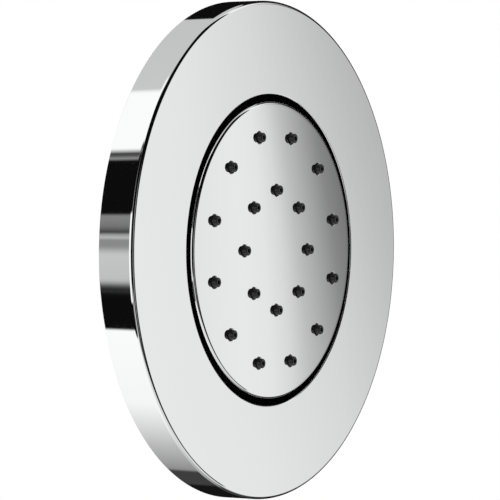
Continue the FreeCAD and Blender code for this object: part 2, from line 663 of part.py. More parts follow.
def ball_stem():
    """Turned brass ball on a short stem that screws into the housing, with water through both."""
    body = new_body("ball_stem")
    ball = "(ball_dia / 2)"
    bore = "(water_bore / 2)"
    mouth = f"({bore} + bore_chamfer)"
    mouth_depth = f"{PIVOT} + sqrt({ball}^2 - {mouth}^2)"
    revolve(body, "turned_stem", [
        (bore, BOSS_FRONT),
        ("stem_dia / 2", BOSS_FRONT),
        ("stem_dia / 2", COLLAR_FRONT),
        (COLLAR_RADIUS, COLLAR_FRONT),
        (COLLAR_RADIUS, COLLAR_BACK),
        ("neck_dia / 2", COLLAR_BACK),
        ("neck_dia / 2", f"{PIVOT} - sqrt({ball}^2 - neck_dia^2 / 4)", "left", ball, "centred"),
        (mouth, mouth_depth),
        (bore, f"{mouth_depth} - bore_chamfer"),
    ])
    key = draw_hexagon(new_sketch(body, "key_outline", BOSS_FRONT), "water_bore + 2 * key_land")
    feature(body, "Pocket", "key_socket", key, Length="key_depth")
    flats = new_sketch(body, "flats_outline", COLLAR_FRONT)
    near = f"({COLLAR_RADIUS} - collar_flat)"
    far = f"({COLLAR_RADIUS} + {OVERSHOOT})"
    draw_box(flats, f"-{far}", near, far, far)
    draw_box(flats, f"-{far}", f"-{far}", far, f"-{near}")
    feature(body, "Pocket", "spanner_flats", flats, Length="collar_gauge")
    return body


def stem_washer():
    """Flat sealing washer between the stem's collar and the housing."""
    return washer("stem_washer", "stem_dia / 2 + thread_gap", COLLAR_RADIUS, HOUSING_BACK, COLLAR_FRONT)


def head_housing():
    """Back half of the spray head: dish, seal groove in its rim, and a threaded boss in the middle."""
    body = new_body("head_housing")
    chamber = f"{DISH_RADIUS} - housing_wall"
    groove = f"{SKIRT_BORE} - chamber_seal - 2 * seal_gap"
    bore = "stem_dia / 2 + thread_gap"
    revolve(body, "dish", [
        (bore, BOSS_FRONT),
        (f"{bore} + boss_wall", BOSS_FRONT),
        (f"{bore} + boss_wall", CHAMBER_FLOOR),
        (chamber, CHAMBER_FLOOR),
        (chamber, CARRIER_BACK),
        (STACK_RADIUS, CARRIER_BACK),
        (STACK_RADIUS, SEAL_FRONT),
        (groove, SEAL_FRONT),
        (groove, f"{SEAL_FRONT} + seal_groove"),
        (STACK_RADIUS, f"{SEAL_FRONT} + seal_groove"),
        (STACK_RADIUS, RIM_BACK),
        (DISH_RADIUS, RIM_BACK),
        (DISH_RADIUS, HOUSING_BACK),
        (bore, HOUSING_BACK),
    ])
    return body


def chamber_o_ring():
    """Seals the housing's rim against the spray plate's skirt."""
    radius = f"{SKIRT_BORE} - seal_gap - chamber_seal / 2"
    return rubber_ring("chamber_o_ring", radius, f"{SEAL_FRONT} + seal_groove / 2", "chamber_seal")


def nozzle_carrier():
    """Stiff plastic plate behind the mat: feed holes, and a low cone that spreads the water."""
    body = new_body("nozzle_carrier")
    revolve(body, "carrier_plate", [
        ("0", MAT_BACK),
        (STACK_RADIUS, MAT_BACK),
        (STACK_RADIUS, CARRIER_BACK),
        ("water_bore / 2", CARRIER_BACK),
        ("0", f"{CARRIER_BACK} + spreader_height"),
    ])
    for name, circle, count, share in NOZZLE_RINGS:
        turn = share * 360.0 / number(count)
        ring_of_holes(body, f"{name}_feed", MAT_BACK, "carrier_gauge", "feed_hole_dia", circle, count, turn)
    return body


def nozzle_mat():
    """One silicone moulding: a mat with a soft tapered nozzle for every hole of the spray plate."""
    body = new_body("nozzle_mat")
    revolve(body, "mat", [
        ("0", FACE_BACK),
        (STACK_RADIUS, FACE_BACK),
        (STACK_RADIUS, MAT_BACK),
        ("0", MAT_BACK),
    ])
    foot = "plate_hole_dia / 2 - foot_clearance"
    root = "plate_hole_dia / 2 - nozzle_gap"
    edge = f"{root} - tip_taper"
    for name, circle, count, share in NOZZLE_RINGS:
        face = crown(circle)
        tip = f"{face} - nozzle_height"
        turn = share * 360.0 / number(count)
        nozzle = revolve_aside(body, f"{name}_nozzle", circle, [
            ("0", tip),
            (f"{edge} - tip_round", tip, "left", "tip_round"),
            (edge, f"{tip} + tip_round"),
            (root, f"{face} + foot_recess"),
            (foot, f"{face} + foot_recess"),
            (foot, MAT_BACK),
            ("0", MAT_BACK),
        ], turn=turn)
        bore = revolve_aside(body, f"{name}_bore", circle, [
            ("0", f"{tip} - {OVERSHOOT}"),
            ("jet_dia / 2", f"{tip} - {OVERSHOOT}"),
            ("jet_dia / 2", f"{face} + foot_recess"),
            ("nozzle_mouth_dia / 2", MAT_BACK),
            ("nozzle_mouth_dia / 2", f"{MAT_BACK} + {OVERSHOOT}"),
            ("0", f"{MAT_BACK} + {OVERSHOOT}"),
        ], "Groove", turn)
        ring_of(body, f"{name}_nozzles", [nozzle, bore], count)
    return body


def spray_plate():
    """Turned brass disc: low crown, skirt round the stack, groove for the snap ring, nozzle holes."""
    body = new_body("spray_plate")
    flank = f"{DISC_RADIUS} - disc_round"
    groove = f"{SNAP_OUTER} + thread_gap"
    revolve(body, "turned_plate", [
        ("0", crown("0"), "left", "dome_radius", "centred"),
        (flank, crown(flank), "left", "disc_round"),
        (DISC_RADIUS, f"{crown(flank)} + disc_round"),
        (DISC_RADIUS, SKIRT_END),
        (SKIRT_BORE, SKIRT_END),
        (SKIRT_BORE, SNAP_BACK),
        (groove, SNAP_BACK),
        (groove, RIM_BACK),
        (SKIRT_BORE, RIM_BACK),
        (SKIRT_BORE, FACE_BACK),
        ("0", FACE_BACK),
    ])
    front = f"({crown('0')} - {OVERSHOOT})"
    depth = f"{FACE_BACK} - {front}"
    for name, circle, count, share in NOZZLE_RINGS:
        turn = share * 360.0 / number(count)
        ring_of_holes(body, name, front, depth, "plate_hole_dia", circle, count, turn)
    return body


def snap_ring():
    """Open spring-steel ring, sprung into the skirt's groove behind the housing; it opens downwards."""
    body = new_body("snap_ring")
    ring = revolve(body, "open_ring", [
        (SNAP_INNER, RIM_BACK),
        (SNAP_OUTER, RIM_BACK),
        (SNAP_OUTER, SNAP_BACK),
        (SNAP_INNER, SNAP_BACK),
    ], turn=-90.0 - number("snap_opening") / 2)
    ring.setExpression("Angle", bound("360 - snap_opening"))
    return body


def regulator_body():
    """Plastic flow regulator: holed disc, rim and the post that its elastic ring closes on."""
    body = new_body("regulator_body")
    post = "post_dia / 2"
    rim = f"{INSERT_RADIUS} - regulator_rim"
    revolve(body, "regulator_insert", [
        ("0", REGULATOR_FRONT),
        (INSERT_RADIUS, REGULATOR_FRONT),
        (INSERT_RADIUS, REGULATOR_BACK),
        (rim, REGULATOR_BACK),
        (rim, REGULATOR_DISC),
        (post, REGULATOR_DISC),
        (post, f"{REGULATOR_DISC} + post_length"),
        ("0", f"{REGULATOR_DISC} + post_length"),
    ])
    circle = f"{INSERT_RADIUS} - regulator_hole_inset"
    hole = "regulator_hole_dia"
    ring_of_holes(body, "disc", REGULATOR_FRONT, "regulator_disc", hole, circle, "regulator_holes")
    return body


def regulator_ring():
    """Elastic ring round the regulator's post."""
    radius = "post_dia / 2 + seal_gap + regulator_ring_section / 2"
    place = f"{REGULATOR_DISC} + regulator_ring_section / 2"
    return rubber_ring("regulator_ring", radius, place, "regulator_ring_section")


def inlet_strainer():
    """Plastic basket in the pipe end that keeps grit out of the nozzles."""
    body = new_body("inlet_strainer")
    mouth = f"({INSERT_RADIUS} - strainer_ledge)"
    end = f"({mouth} - strainer_taper)"
    revolve(body, "basket", [
        ("0", STRAINER_END),
        (end, STRAINER_END),
        (mouth, STRAINER_RIM),
        (INSERT_RADIUS, STRAINER_RIM),
        (INSERT_RADIUS, STRAINER_BACK),
        (f"{mouth} - strainer_wall", STRAINER_BACK),
        (f"{end} - strainer_wall", f"{STRAINER_END} + strainer_wall"),
        ("0", f"{STRAINER_END} + strainer_wall"),
    ])
    half = "slot_width / 2"
    slot = new_sketch(body, "slot_outline")
    slot_front = f"{STRAINER_END} + 2 * strainer_wall"
    draw_box(slot, f"-{half}", slot_front, half, f"{STRAINER_RIM} - strainer_wall")
    cut = feature(body, "Pocket", "slot", slot, Length=INSERT_RADIUS, Reversed=True)
    ring_of(body, "slots", [cut], "strainer_slots")
    circle = f"{end} - strainer_hole_inset"
    hole = "strainer_hole_dia"
    ring_of_holes(body, "end", STRAINER_END, "strainer_wall", hole, circle, "strainer_holes")
    return body


PARTS = [
    cover_plate,
    cover_o_ring,
    wall_cup,
    wall_gasket,
    cup_washer,
    inlet_body,
    lock_washer,
    lock_nut,
    ball_nut,
    front_seat,
    rear_seat,
    seat_o_ring,
    ball_stem,
    stem_washer,
    head_housing,
    chamber_o_ring,
    nozzle_carrier,
    nozzle_mat,
    spray_plate,
    snap_ring,
    regulator_body,
    regulator_ring,
    inlet_strainer,
]

made = [build() for build in PARTS]
doc.recompute()

failed = [item.Label for item in doc.Objects if {"Invalid", "Error"} & set(item.State)]
if failed:
    raise RuntimeError(f"these objects failed: {failed}")
for part in made:
    if part.Shape.isNull() or not part.Shape.isValid():
        raise RuntimeError(f"{part.Label} has no valid shape")

os.makedirs("parts", exist_ok=True)
for part in made:
    shape = part.Shape
    shape.exportStep(f"parts/{part.Label}.step")
    low, high = shape.BoundBox.YMin, shape.BoundBox.YMax
    print(f"{part.Label}: {len(shape.Solids)} solid, {shape.Volume:.1f} mm3, y {low:.2f} to {high:.2f}")
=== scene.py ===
import math

import bpy
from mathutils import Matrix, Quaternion, Vector


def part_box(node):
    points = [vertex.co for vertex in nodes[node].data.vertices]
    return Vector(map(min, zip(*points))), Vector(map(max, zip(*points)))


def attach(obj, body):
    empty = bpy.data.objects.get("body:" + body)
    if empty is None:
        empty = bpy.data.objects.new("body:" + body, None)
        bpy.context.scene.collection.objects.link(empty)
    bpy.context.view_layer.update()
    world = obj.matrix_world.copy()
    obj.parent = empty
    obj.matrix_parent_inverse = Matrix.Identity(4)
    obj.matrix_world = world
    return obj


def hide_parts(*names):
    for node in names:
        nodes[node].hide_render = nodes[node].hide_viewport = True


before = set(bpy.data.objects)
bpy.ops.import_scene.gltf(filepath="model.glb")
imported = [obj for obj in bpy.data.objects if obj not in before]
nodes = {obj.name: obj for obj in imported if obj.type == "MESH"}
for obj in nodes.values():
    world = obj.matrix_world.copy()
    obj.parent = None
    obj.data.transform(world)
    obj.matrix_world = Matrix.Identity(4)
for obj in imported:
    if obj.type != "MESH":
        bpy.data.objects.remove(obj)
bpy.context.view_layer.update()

# Camera
# A long lens looks at the jet from low on its left, where the rim shows as a narrow band. The jet's
# axis runs away from the camera, and the cover fills the picture's height.
FACE_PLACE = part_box("cover_plate")[0].y
LOOK_AZIMUTH = math.radians(-58.25)
LOOK_ELEVATION = math.radians(0.9)
LOOK_DISTANCE = 0.8
AIM_LEFT = math.radians(0.38)
LENS_TILT = math.radians(0.18)
LENS = 239.0
SENSOR = 36.0
back = Vector((
    math.sin(LOOK_AZIMUTH) * math.cos(LOOK_ELEVATION),
    -math.cos(LOOK_AZIMUTH) * math.cos(LOOK_ELEVATION),
    math.sin(LOOK_ELEVATION),
))
bpy.ops.object.camera_add(location=Vector((0, FACE_PLACE, 0)) + back * LOOK_DISTANCE)
camera = bpy.context.object
camera.rotation_mode = "QUATERNION"
camera.rotation_quaternion = (
    (-back).to_track_quat("-Z", "Y")
    @ Quaternion((0, 1, 0), AIM_LEFT)
    @ Quaternion((0, 0, 1), LENS_TILT)
)
camera.data.lens = LENS
camera.data.sensor_width = SENSOR
camera.data.clip_start = 0.05
camera.data.clip_end = 50.0
bpy.context.scene.camera = camera


# Cover plate
# A deep-drawn brass cover, polished and chromed: a flat ring of a face, a short rim that meets the
# tiles, and an opening whose edge is turned in. It is pushed over the rubber ring on the wall cup.
MM = 0.001
COVER_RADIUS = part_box("cover_plate")[1].x
COVER_SHEET = 1.5 * MM
COVER_EDGE = 0.95 * MM
OPENING = 37.5 * MM
OPENING_EDGE = 0.3 * MM
LIP_DEPTH = 2.2 * MM
INNER_ROUND = 0.6 * MM
SHEET_EDGE_BREAK = 0.15 * MM
TURNING_STEPS = 256
BROAD_STEPS = 8
FINE_STEPS = 6
BREAK_STEPS = 2
SAME_PLACE = 1e-6
DOUBLES = 1e-7


def pick(test, kind="VERT"):
    """In edit mode, selects the active mesh's points, edges or faces that pass a test on their place."""
    bpy.ops.mesh.select_mode(type="VERT")
    bpy.ops.mesh.select_all(action="DESELECT")
    bpy.ops.object.mode_set(mode="OBJECT")
    mesh = bpy.context.object.data
    hits = [test(point.co) for point in mesh.vertices]
    for point, hit in zip(mesh.vertices, hits):
        point.select = hit
    for edge in mesh.edges:
        edge.select = all(hits[corner] for corner in edge.vertices)
    for face in mesh.polygons:
        face.select = all(hits[corner] for corner in face.vertices)
    bpy.ops.object.mode_set(mode="EDIT")
    bpy.ops.mesh.select_mode(type=kind)


def drawn(name, outline, centre=(0.0, 0.0)):
    """Draws a closed outline point by point and leaves it selected in edit mode.

    Each point is a distance from a line along Y through the centre, and a place along it.
    """
    bpy.ops.object.select_all(action="DESELECT")
    across, along = outline[0]
    bpy.ops.mesh.primitive_plane_add(size=MM, location=(centre[0] + across, along, centre[1]))
    piece = bpy.context.object
    piece.name = name
    piece.data.name = name
    bpy.ops.object.transform_apply(location=True)
    bpy.ops.object.mode_set(mode="EDIT")
    bpy.ops.mesh.select_mode(type="VERT")
    bpy.ops.mesh.select_all(action="SELECT")
    bpy.ops.mesh.merge(type="CENTER")
    for (across, along), (further, onward) in zip(outline, outline[1:] + outline[:1]):
        step = (further - across, onward - along, 0)
        bpy.ops.mesh.extrude_region_move(TRANSFORM_OT_translate={"value": step})
    bpy.ops.mesh.select_all(action="SELECT")
    bpy.ops.mesh.remove_doubles(threshold=DOUBLES)
    return piece


def spun(name, outline, steps=TURNING_STEPS, centre=(0.0, 0.0)):
    """Spins a drawn outline into a turned piece."""
    piece = drawn(name, outline, centre)
    middle = (centre[0], 0, centre[1])
    bpy.ops.mesh.spin(steps=steps, angle=2 * math.pi, center=middle, axis=(0, 1, 0))
    bpy.ops.mesh.select_all(action="SELECT")
    bpy.ops.mesh.remove_doubles(threshold=DOUBLES)
    bpy.ops.mesh.delete_loose()
    bpy.ops.mesh.select_all(action="SELECT")
    bpy.ops.mesh.normals_make_consistent(inside=False)
    bpy.ops.object.mode_set(mode="OBJECT")
    return piece


def round_ring(piece, radius, place, size, steps=FINE_STEPS):
    """Rounds the sharp ring of a turned piece that has this radius and place."""
    bpy.context.view_layer.objects.active = piece
    bpy.ops.object.mode_set(mode="EDIT")
    pick(
        lambda co: abs(math.hypot(co.x, co.z) - radius) < SAME_PLACE and abs(co.y - place) < SAME_PLACE,
        "EDGE",
    )
    bpy.ops.mesh.bevel(offset=size, segments=steps, profile=0.5, affect="EDGES")
    bpy.ops.object.mode_set(mode="OBJECT")


def shade(piece, angle=35.0):
    """Smooth shading up to an angle, with flat faces kept flat beside their rounded edges."""
    bpy.ops.object.select_all(action="DESELECT")
    piece.select_set(True)
    bpy.context.view_layer.objects.active = piece
    bpy.ops.object.shade_smooth_by_angle(angle=math.radians(angle))
    weighting = piece.modifiers.new("flat faces", "WEIGHTED_NORMAL")
    weighting.weight = 100
    weighting.keep_sharp = True
    bpy.ops.object.modifier_apply(modifier=weighting.name)


class Value:
    """A number that changes over a surface. Arithmetic on it adds the Math nodes."""

    def __init__(self, socket):
        self.socket = socket

    def math(self, operation, *numbers):
        step = self.socket.id_data.nodes.new("ShaderNodeMath")
        step.operation = operation
        for port, number in zip(step.inputs, numbers):
            feed(port, number)
        return Value(step.outputs[0])

    def __add__(self, other):
        return self.math("ADD", self, other)

    def __sub__(self, other):
        return self.math("SUBTRACT", self, other)

    def __rsub__(self, other):
        return self.math("SUBTRACT", other, self)

    def __mul__(self, other):
        return self.math("MULTIPLY", self, other)

    def __truediv__(self, other):
        return self.math("DIVIDE", self, other)

    def __abs__(self):
        return self.math("ABSOLUTE", self)

    def rises(self, start, end):
        """0 up to start and 1 from end on, with a soft change between them."""
        step = self.socket.id_data.nodes.new("ShaderNodeMapRange")
        step.interpolation_type = "SMOOTHSTEP"
        for port, number in zip(step.inputs, (self, start, end)):
            feed(port, number)
        return Value(step.outputs[0])

    __radd__ = __add__
    __rmul__ = __mul__


def feed(port, value):
    """Gives a socket a number or colour, or links another socket to it."""
    if isinstance(value, Value):
        value = value.socket
    if isinstance(value, bpy.types.NodeSocket):
        port.id_data.links.new(value, port)
    else:
        port.default_value = value


class Shading:
    """A node tree of a material or of the studio."""

    def __init__(self, owner):
        owner.use_nodes = True
        self.tree = owner.node_tree
        self.tree.nodes.clear()

    def node(self, kind, settings=None, inputs=None, output=0):
        """Adds a node of any kind and returns one of its outputs."""
        made = self.tree.nodes.new(f"ShaderNode{kind}")
        for key, value in (settings or {}).items():
            if key == "stops":
                self.set_stops(made.color_ramp.elements, value)
            else:
                setattr(made, key, value)
        for key, value in (inputs or {}).items():
            feed(made.inputs[key], value)
        return made.outputs[output] if made.outputs else made

    def set_stops(self, elements, stops):
        while len(elements) < len(stops):
            elements.new(0.5)
        for element, (place, shade_of_grey) in zip(elements, stops):
            element.position = place
            element.color = (shade_of_grey, shade_of_grey, shade_of_grey, 1)

    def number(self, *arguments, **named):
        return Value(self.node(*arguments, **named))

    def place(self):
        return self.node("TexCoord", output="Object")

    def turned(self, scale):
        """Fine rings round the axis, as a lathe tool leaves them on a cylinder or a face."""
        parts = self.tree.nodes.new("ShaderNodeSeparateXYZ")
        feed(parts.inputs[0], self.place())
        across, along, upright = (Value(port) for port in parts.outputs)
        radius = across.math("SQRT", across * across + upright * upright)
        place = self.node("CombineXYZ", inputs={"X": radius, "Y": along})
        return self.noise(scale, 2.0, place)

    def tint(self, share, low, high):
        """A colour between two, by a share from 0 to 1."""
        return self.node("Mix", {"data_type": "RGBA"}, {0: share, 6: low, 7: high}, output=2)

    def noise(self, scale, detail=2.0, place=None, roughness=0.5):
        inputs = {"Vector": place or self.place(), "Scale": scale, "Detail": detail, "Roughness": roughness}
        return self.number("TexNoise", inputs=inputs)

    def bump(self, height, distance, strength=1.0):
        return self.node("Bump", inputs={"Height": height, "Distance": distance, "Strength": strength})

    def surface(self, **inputs):
        """Ends the tree in one Principled surface. Underscores stand for spaces in its sockets' names."""
        named = {key.replace("_", " "): value for key, value in inputs.items()}
        shader = self.node("BsdfPrincipled", inputs=named)
        self.node("OutputMaterial", inputs={"Surface": shader})


def new_material(name):
    material = bpy.data.materials.new(name)
    return material, Shading(material)


def dress(piece, material):
    piece.data.materials.clear()
    piece.data.materials.append(material)


def fit(piece, material, body, slot, *replaced):
    """Gives a new piece its finish, its body and the CAD nodes that it stands for."""
    dress(piece, material)
    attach(piece, body)
    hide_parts(*replaced)


chrome, look = new_material("mirror_chrome")
haze = look.noise(45.0, 3.0)
wiping = look.noise(900.0, 2.0)
look.surface(
    Base_Color=(0.80, 0.803, 0.808, 1),
    Metallic=1.0,
    Roughness=0.022 + haze * 0.02 + wiping * 0.008,
    Normal=look.bump(look.noise(160.0, 1.0), 0.000001, 0.5),
)

inside = FACE_PLACE + COVER_SHEET
lip_end = FACE_PLACE + LIP_DEPTH
cover = spun("chromed_cover", [
    (OPENING, FACE_PLACE),
    (COVER_RADIUS, FACE_PLACE),
    (COVER_RADIUS, 0.0),
    (COVER_RADIUS - COVER_SHEET, 0.0),
    (COVER_RADIUS - COVER_SHEET, inside),
    (OPENING + COVER_SHEET, inside),
    (OPENING + COVER_SHEET, lip_end),
    (OPENING, lip_end),
])
round_ring(cover, COVER_RADIUS, FACE_PLACE, COVER_EDGE, BROAD_STEPS)
round_ring(cover, OPENING, FACE_PLACE, OPENING_EDGE)
round_ring(cover, OPENING, lip_end, SHEET_EDGE_BREAK, BREAK_STEPS)
round_ring(cover, OPENING + COVER_SHEET, lip_end, SHEET_EDGE_BREAK, BREAK_STEPS)
round_ring(cover, COVER_RADIUS, 0.0, SHEET_EDGE_BREAK, BREAK_STEPS)
round_ring(cover, COVER_RADIUS - COVER_SHEET, inside, INNER_ROUND, 3)
shade(cover)
fit(cover, chrome, "wall_set", "chromed_brass", "cover_plate")


# Spray plate
# A turned brass disc with a low crown, polished and chromed like the cover. Its nozzle holes are
# drilled through the face, and its skirt behind holds the whole stack of the spray head.
PLATE_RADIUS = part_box("spray_plate")[1].x
PLATE_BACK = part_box("spray_plate")[1].y
PLATE_EDGE_PLACE = FACE_PLACE - 0.55 * MM
CROWN = 700.0 * MM
PLATE_EDGE = 0.75 * MM
SKIRT_EDGE = 0.2 * MM
PLATE_INSIDE = PLATE_EDGE_PLACE + 1.55 * MM
SKIRT_BORE = PLATE_RADIUS - 1.5 * MM
GROOVE_FRONT = -1.6 * MM
GROOVE_BACK = -0.4 * MM
GROOVE_DEPTH = 0.6 * MM
HOLE_RADIUS = 1.55 * MM
OUTER_CIRCLE = 27.95 * MM
INNER_CIRCLE = 14.45 * MM
HOLE_COUNTERSINK = 0.12 * MM
DRILL_START = -1.0 * MM
DRILL_END = 4.0 * MM
DRILL_STEPS = 48
CROWN_RINGS = 24


def crown(radius):
    """Place of the domed face at this radius."""
    return PLATE_EDGE_PLACE - math.sqrt(CROWN**2 - radius**2) + math.sqrt(CROWN**2 - PLATE_RADIUS**2)


def cut(piece, tool, operation="DIFFERENCE"):
    """Joins, cuts or trims a piece with another mesh, which is then deleted."""
    bpy.ops.object.select_all(action="DESELECT")
    bpy.context.view_layer.objects.active = piece
    piece.select_set(True)
    change = piece.modifiers.new("cut", "BOOLEAN")
    change.operation = operation
    change.solver = "EXACT"
    change.object = tool
    bpy.ops.object.modifier_apply(modifier=change.name)
    bpy.data.objects.remove(tool)


nozzle_places = []
for circle, count, start in ((OUTER_CIRCLE, 12, 15.0), (INNER_CIRCLE, 8, 0.0)):
    for step in range(count):
        angle = math.radians(start + step * 360.0 / count)
        nozzle_places.append((circle, circle * math.cos(angle), circle * math.sin(angle)))


def at_every_nozzle(model, height):
    """Copies one model to every nozzle, raised with the crown, and joins the copies."""
    copies = []
    for circle, across, up in nozzle_places:
        bpy.ops.object.select_all(action="DESELECT")
        bpy.context.view_layer.objects.active = model
        model.select_set(True)
        bpy.ops.object.duplicate()
        bpy.ops.transform.translate(value=(across, crown(circle) + height, up))
        copies.append(bpy.context.object)
    bpy.data.objects.remove(model)
    bpy.ops.object.select_all(action="DESELECT")
    for copy in copies:
        copy.select_set(True)
    bpy.context.view_layer.objects.active = copies[0]
    bpy.ops.object.transform_apply(location=True)
    bpy.ops.object.join()
    return copies[0]


dome = [
    (PLATE_RADIUS * step / CROWN_RINGS, crown(PLATE_RADIUS * step / CROWN_RINGS))
    for step in range(CROWN_RINGS)
]
plate = spun("chromed_spray_plate", dome + [
    (PLATE_RADIUS, crown(PLATE_RADIUS)),
    (PLATE_RADIUS, PLATE_BACK),
    (SKIRT_BORE, PLATE_BACK),
    (SKIRT_BORE, GROOVE_BACK),
    (SKIRT_BORE + GROOVE_DEPTH, GROOVE_BACK),
    (SKIRT_BORE + GROOVE_DEPTH, GROOVE_FRONT),
    (SKIRT_BORE, GROOVE_FRONT),
    (SKIRT_BORE, PLATE_INSIDE),
    (0.0, PLATE_INSIDE),
])
round_ring(plate, PLATE_RADIUS, crown(PLATE_RADIUS), PLATE_EDGE, BROAD_STEPS)
round_ring(plate, PLATE_RADIUS, PLATE_BACK, SKIRT_EDGE, BREAK_STEPS)
smooth_dome = plate.copy()
smooth_dome.data = plate.data.copy()
bpy.context.collection.objects.link(smooth_dome)
bpy.ops.object.select_all(action="DESELECT")
shade(smooth_dome)
drill = spun("drill", [
    (0.0, DRILL_START),
    (HOLE_RADIUS + HOLE_COUNTERSINK - DRILL_START, DRILL_START),
    (HOLE_RADIUS, HOLE_COUNTERSINK),
    (HOLE_RADIUS, DRILL_END),
    (0.0, DRILL_END),
], DRILL_STEPS)
cut(plate, at_every_nozzle(drill, 0.0))
shade(plate)
group = plate.vertex_groups.new(name="face")
face_points = [
    point.index
    for point in plate.data.vertices
    if abs(point.co.y - crown(math.hypot(point.co.x, point.co.z))) < 2e-6
    and math.hypot(point.co.x, point.co.z) < PLATE_RADIUS - PLATE_EDGE * 0.9
]
group.add(face_points, 1.0, "REPLACE")
transfer = plate.modifiers.new("dome shading", "DATA_TRANSFER")
transfer.object = smooth_dome
transfer.use_loop_data = True
transfer.data_types_loops = {"CUSTOM_NORMAL"}
transfer.loop_mapping = "POLYINTERP_NEAREST"
transfer.vertex_group = group.name
bpy.ops.object.modifier_apply(modifier=transfer.name)
plate.vertex_groups.clear()
bpy.data.objects.remove(smooth_dome)
fit(plate, chrome, "spray_head", "chromed_brass", "spray_plate")


# Nozzle mat
# One moulding of dark silicone behind the plate. It carries a soft nozzle for every hole, which
# stands a little proud so that lime can be rubbed off, with an open ring round its foot.
NOZZLE_ROOT = HOLE_RADIUS - 0.3 * MM
NOZZLE_TIP = NOZZLE_ROOT - 0.1 * MM
NOZZLE_RISE = 1.25 * MM
TIP_ROUND = 0.3 * MM
FOOT_DEPTH = 0.3 * MM
FOOT_RADIUS = HOLE_RADIUS - 0.05 * MM
FOOT_END = 2.2 * MM
JET_RADIUS = 0.5 * MM
JET_FLARE = 0.12 * MM
TIP_STEPS = 6
NOZZLE_STEPS = 40
MAT_STEPS = 96
MAT_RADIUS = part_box("nozzle_mat")[1].x
MAT_FRONT = PLATE_INSIDE
MAT_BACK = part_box("nozzle_mat")[1].y

silicone, look = new_material("charcoal_silicone")
grain = look.noise(9000.0, 2.0)
look.surface(
    Base_Color=(0.010, 0.010, 0.011, 1),
    Roughness=0.13 + look.noise(1500.0) * 0.08,
    Specular_IOR_Level=0.4,
    Normal=look.bump(grain, 0.00001, 0.4),
)

tip_arc = []
for step in range(TIP_STEPS + 1):
    angle = math.radians(90.0 * step / TIP_STEPS)
    tip_arc.append((
        NOZZLE_TIP - TIP_ROUND + TIP_ROUND * math.sin(angle),
        -NOZZLE_RISE + TIP_ROUND - TIP_ROUND * math.cos(angle),
    ))
nozzle = spun("nozzle", [
    (JET_RADIUS, -NOZZLE_RISE + JET_FLARE),
    (JET_RADIUS + JET_FLARE, -NOZZLE_RISE),
    *tip_arc,
    (NOZZLE_ROOT, FOOT_DEPTH),
    (FOOT_RADIUS, FOOT_DEPTH),
    (FOOT_RADIUS, FOOT_END),
    (JET_RADIUS, FOOT_END),
], NOZZLE_STEPS)
mat = spun("nozzle_mat_moulding", [
    (0.0, MAT_FRONT),
    (MAT_RADIUS, MAT_FRONT),
    (MAT_RADIUS, MAT_BACK),
    (0.0, MAT_BACK),
], MAT_STEPS)
cut(mat, at_every_nozzle(nozzle, 0.0), "UNION")
shade(mat)
fit(mat, silicone, "spray_head", "charcoal_silicone", "nozzle_mat")


# Nozzle carrier, seats, flow regulator and inlet strainer
# White acetal mouldings: the stiff plate that backs the mat, the two rings that the ball turns in,
# the flow regulator in the pipe, and the basket that keeps grit out of it.
acetal, look = new_material("white_acetal")
look.surface(
    Base_Color=look.tint(look.noise(300.0, 3.0), (0.80, 0.80, 0.76, 1), (0.84, 0.84, 0.81, 1)),
    Roughness=0.34 + look.noise(2500.0, 3.0) * 0.16,
    Subsurface_Weight=0.06,
    Subsurface_Scale=0.0006,
    Normal=look.bump(look.noise(3500.0, 2.0), 0.000012, 0.4),
)
for name in ("nozzle_carrier", "front_seat", "rear_seat", "regulator_body", "inlet_strainer"):
    dress(nodes[name], acetal)


# Rubber rings and washers
# Black nitrile rings: on the cover's seat, round the spray chamber, behind the ball seat, in the
# flow regulator, under the stem's collar and outside the cup. They came off matt from the mould.
rubber, look = new_material("black_nitrile")
bloom = look.noise(420.0, 4.0)
look.surface(
    Base_Color=look.tint(bloom.rises(0.35, 0.75), (0.024, 0.024, 0.025, 1), (0.045, 0.045, 0.046, 1)),
    Roughness=0.5 + bloom * 0.2,
    Specular_IOR_Level=0.4,
    Normal=look.bump(look.noise(6000.0, 3.0), 0.00001, 0.5),
)
for name in ("cover_o_ring", "chamber_o_ring", "seat_o_ring", "regulator_ring", "stem_washer", "cup_washer"):
    dress(nodes[name], rubber)


# Snap ring and lock washer
# Stainless spring steel. The open ring is wound from wire and holds the stack in the plate's skirt;
# the washer is pressed and tumbled.
steel, look = new_material("stainless_spring")
grain = look.turned(9000.0)
look.surface(
    Base_Color=look.tint(look.noise(150.0, 3.0), (0.58, 0.585, 0.59, 1), (0.66, 0.665, 0.67, 1)),
    Metallic=1.0,
    Roughness=0.2 + grain * 0.14,
    Normal=look.bump(grain, 0.000008, 0.5),
)
for name in ("snap_ring", "lock_washer"):
    dress(nodes[name], steel)


# Ball stem, ball nut and lock nut
# Turned brass, left bright: the bored ball on its threaded stem, the nut that holds the ball on its
# seats, and the nut that clamps the cup. Each shows the tool's fine rings.
brass, look = new_material("turned_brass")
rings = look.turned(5200.0)
tarnish = look.noise(110.0, 5.0).rises(0.42, 0.78)
look.surface(
    Base_Color=look.tint(tarnish, (0.80, 0.61, 0.33, 1), (0.66, 0.48, 0.24, 1)),
    Metallic=1.0,
    Roughness=0.17 + rings * 0.12 + tarnish * 0.1,
    Normal=look.bump(rings, 0.00002, 0.6),
)
for name in ("ball_stem", "ball_nut", "lock_nut"):
    dress(nodes[name], brass)


